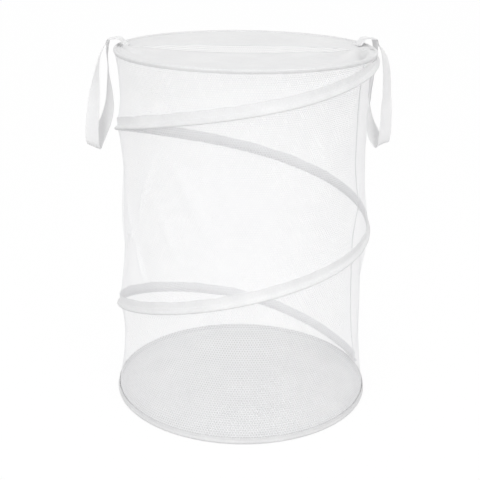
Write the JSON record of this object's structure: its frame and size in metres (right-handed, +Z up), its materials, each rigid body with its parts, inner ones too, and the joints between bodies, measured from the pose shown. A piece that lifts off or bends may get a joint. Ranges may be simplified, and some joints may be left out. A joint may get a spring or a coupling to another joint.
{
  "type": "pop-up laundry hamper",
  "caption": "Round pop-up laundry hamper of net over a sprung spiral, with a split cloth cover and webbing loop handles.",
  "frame": {"origin": "middle of the underside of the base panel, on the floor", "axes": "+Z up along the hamper's axis, from base to rim; +X towards the right-hand handle; -Y towards the front"},
  "size_m": [0.5522, 0.4631, 0.647],
  "materials": {
    "spring_steel": "drawn spring steel wire, satin",
    "end_cap": "moulded soft vinyl",
    "binding_tape": "woven polyester tape, folded and sewn",
    "cover_cloth": "plain-woven polyester taffeta, uncoated",
    "base_cloth": "plain-woven polyester taffeta, uncoated",
    "net": "warp-knitted hexagonal polyester net",
    "webbing": "woven polypropylene webbing, stitched double at the roots"
  },
  "bodies": {
    "base": {"base_hoop": "spring_steel", "base_hoop_sleeve": "spring_steel", "base_binding": "binding_tape", "base_panel": "base_cloth", "net_wall": "net", "net_wall_seam": "binding_tape", "spiral_spring": "spring_steel", "spiral_casing": "binding_tape", "spiral_cap_lower": "end_cap"},
    "rim": {"rim_hoop": "spring_steel", "rim_hoop_sleeve": "spring_steel", "rim_binding": "binding_tape", "cover_cloth_rear": "cover_cloth", "cover_cloth_front": "cover_cloth", "handle_root_left": "webbing", "handle_root_right": "webbing", "spiral_cap_upper": "end_cap"},
    "handle_left": {"handle_left": "webbing"},
    "handle_right": {"handle_right": "webbing"}
  },
  "joints": [
    {"name": "collapse", "type": "slide", "parent": "base", "child": "rim", "axis": [0, 0, -1], "range_m": [0, 0.585], "stiffness_N_per_m": 40, "springref_m": -0.1, "deforming": ["net_wall", "net_wall_seam", "spiral_spring", "spiral_casing"]},
    {"name": "handle_left_swing", "type": "hinge", "parent": "rim", "child": "handle_left", "pos_m": [-0.23842, 0.01667, 0.6435], "axis": [0.0698, 0.9976, 0], "range_deg": [0, 165]},
    {"name": "handle_right_swing", "type": "hinge", "parent": "rim", "child": "handle_right", "pos_m": [0.22974, 0.06588, 0.6435], "axis": [0.2756, -0.9613, 0], "range_deg": [0, 165]}
  ]
}
